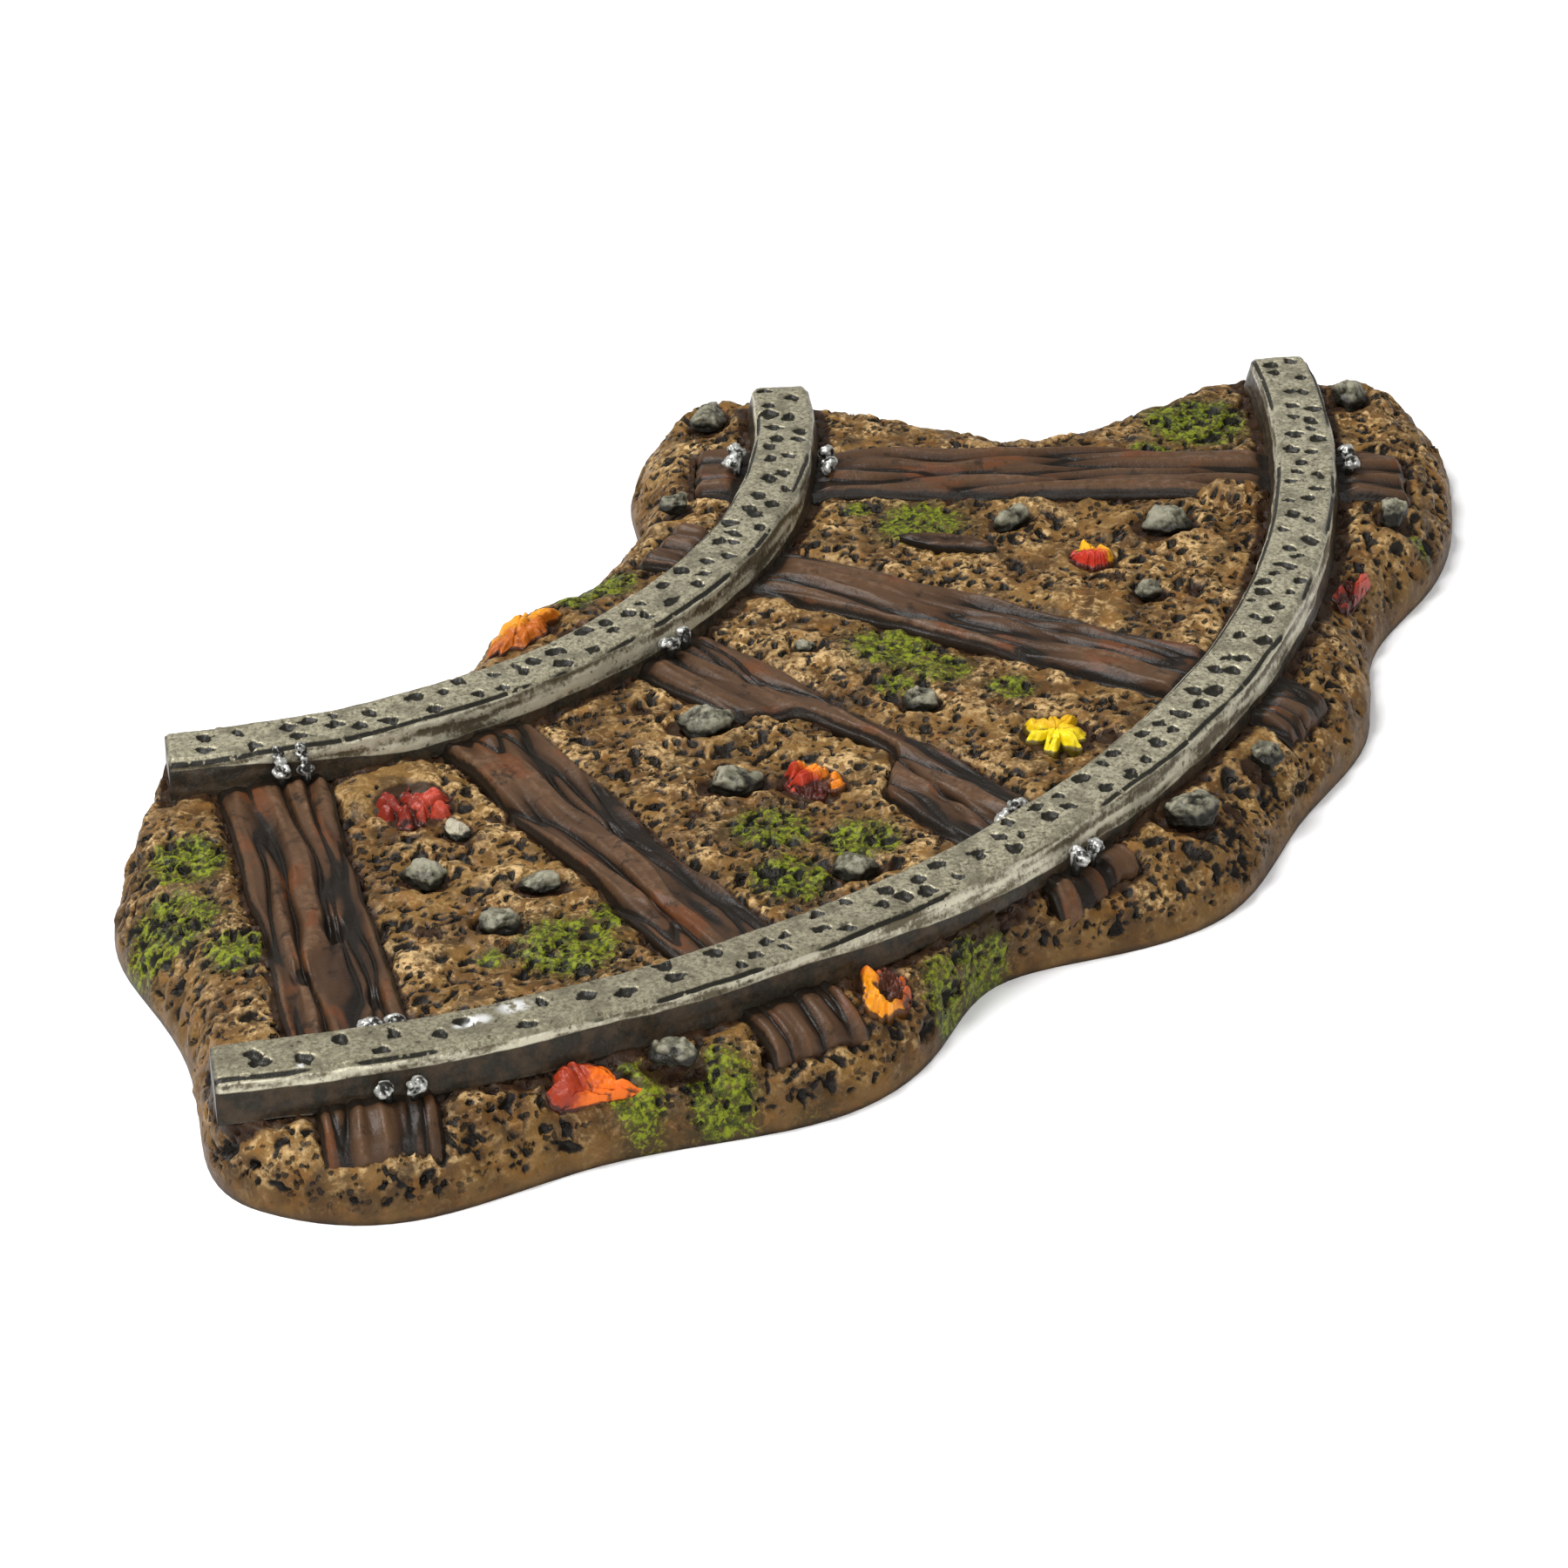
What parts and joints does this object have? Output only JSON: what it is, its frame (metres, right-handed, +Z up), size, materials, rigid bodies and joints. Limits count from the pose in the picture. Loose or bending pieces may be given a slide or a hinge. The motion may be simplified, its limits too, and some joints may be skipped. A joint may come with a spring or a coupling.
{
  "type": "model track section",
  "caption": "Curved section of display track: two bent rails on rough ties, let into an irregular bed of earth with spikes, stones, fallen leaves and a twig.",
  "frame": {"origin": "on the underside, under the middle of the bounding box", "axes": "+Z up from the surface it stands on; +X along the chord of the bend, towards its right-hand end; the outer rail bulges towards -Y"},
  "size_m": [0.194, 0.1032, 0.0115],
  "materials": {
    "painted_earth": "hand-painted cast resin, satin, ochre earth with cream dry-brushing, dark wash in the pits and green moss",
    "pewter_rail": "pewter-coloured paint on cast resin, satin, dark pits and a brighter brushed flank",
    "silver_spike": "bright silver paint on cast resin",
    "dark_timber": "dark reddish umber paint on cast resin, satin, black grooves along the grain",
    "grey_stone": "grey-green paint on cast resin, near-black lower sides",
    "dark_bark": "dark brown paint on cast resin",
    "red_leaf": "glossy red paint with orange dry-brushing",
    "orange_leaf": "glossy orange paint with red shading",
    "yellow_leaf": "glossy yellow paint with orange shading"
  },
  "bodies": {
    "root": {"ground_base": "painted_earth", "leaf_ember_folded": "orange_leaf", "leaf_flame": "orange_leaf", "leaf_orange_bank": "orange_leaf", "leaf_orange_hook": "orange_leaf", "leaf_orange_red": "orange_leaf", "leaf_red_curled": "red_leaf", "leaf_red_edge": "red_leaf", "leaf_yellow_maple": "yellow_leaf", "rail_inner": "pewter_rail", "rail_outer": "pewter_rail", "spikes_tie_1_inner_away": "silver_spike", "spikes_tie_1_outer_away": "silver_spike", "spikes_tie_1_outer_near_centre": "silver_spike", "spikes_tie_3_inner_away": "silver_spike", "spikes_tie_3_outer_away": "silver_spike", "spikes_tie_3_outer_near_centre": "silver_spike", "spikes_tie_5_inner_away": "silver_spike", "spikes_tie_5_inner_near_centre": "silver_spike", "spikes_tie_5_outer_away": "silver_spike", "stone_01": "grey_stone", "stone_02": "grey_stone", "stone_03": "grey_stone", "stone_04": "grey_stone", "stone_05": "grey_stone", "stone_06": "grey_stone", "stone_07": "grey_stone", "stone_08": "grey_stone", "stone_09": "grey_stone", "stone_10": "grey_stone", "stone_11": "grey_stone", "stone_12": "grey_stone", "stone_13": "grey_stone", "stone_14": "grey_stone", "stone_15": "grey_stone", "stone_16": "grey_stone", "stone_17": "grey_stone", "stone_18": "grey_stone", "stone_19": "grey_stone", "tie_1": "dark_timber", "tie_2": "dark_timber", "tie_3": "dark_timber", "tie_4": "dark_timber", "tie_5": "dark_timber", "twig": "dark_bark"}
  },
  "joints": []
}
